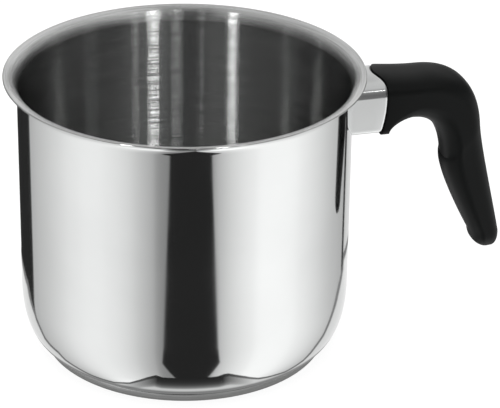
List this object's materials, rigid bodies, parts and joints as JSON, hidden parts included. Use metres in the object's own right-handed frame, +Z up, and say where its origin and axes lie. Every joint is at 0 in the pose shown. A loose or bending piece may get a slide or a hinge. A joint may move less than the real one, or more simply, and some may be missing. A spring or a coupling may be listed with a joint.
{
  "type": "milk pan",
  "caption": "Tall straight-sided milk pan with a flared pouring rim, a capsule base and a side handle that bends down in a short grip.",
  "frame": {"origin": "middle of the flat underside of the base cap, on the surface the pan stands on", "axes": "+Z up along the pan's axis, +X from the pan's axis towards the handle, +Y to the left of the handle seen along it"},
  "size_m": [0.2195, 0.153, 0.1243],
  "materials": {
    "polished_steel": "mirror-polished stainless steel outside, brushed inside",
    "polished_sleeve": "polished stainless steel sleeve",
    "satin_steel": "satin stainless steel, turned",
    "aluminium": "mill aluminium",
    "pressed_steel": "pressed steel sheet",
    "weld_metal": "dull weld metal",
    "black_phenolic": "satin black moulded phenolic",
    "screw_steel": "bright zinc-plated steel",
    "brass": "plain brass"
  },
  "bodies": {
    "root": {"pan_body": "polished_steel", "heat_spreader_disc": "aluminium", "base_cap": "satin_steel", "handle_bracket": "pressed_steel", "weld_nugget_1": "weld_metal", "weld_nugget_2": "weld_metal", "weld_nugget_3": "weld_metal", "weld_nugget_4": "weld_metal", "flame_guard": "polished_sleeve", "handle": "black_phenolic", "handle_screw": "screw_steel", "spring_washer": "screw_steel", "flat_washer": "screw_steel", "square_nut": "brass"}
  },
  "joints": []
}
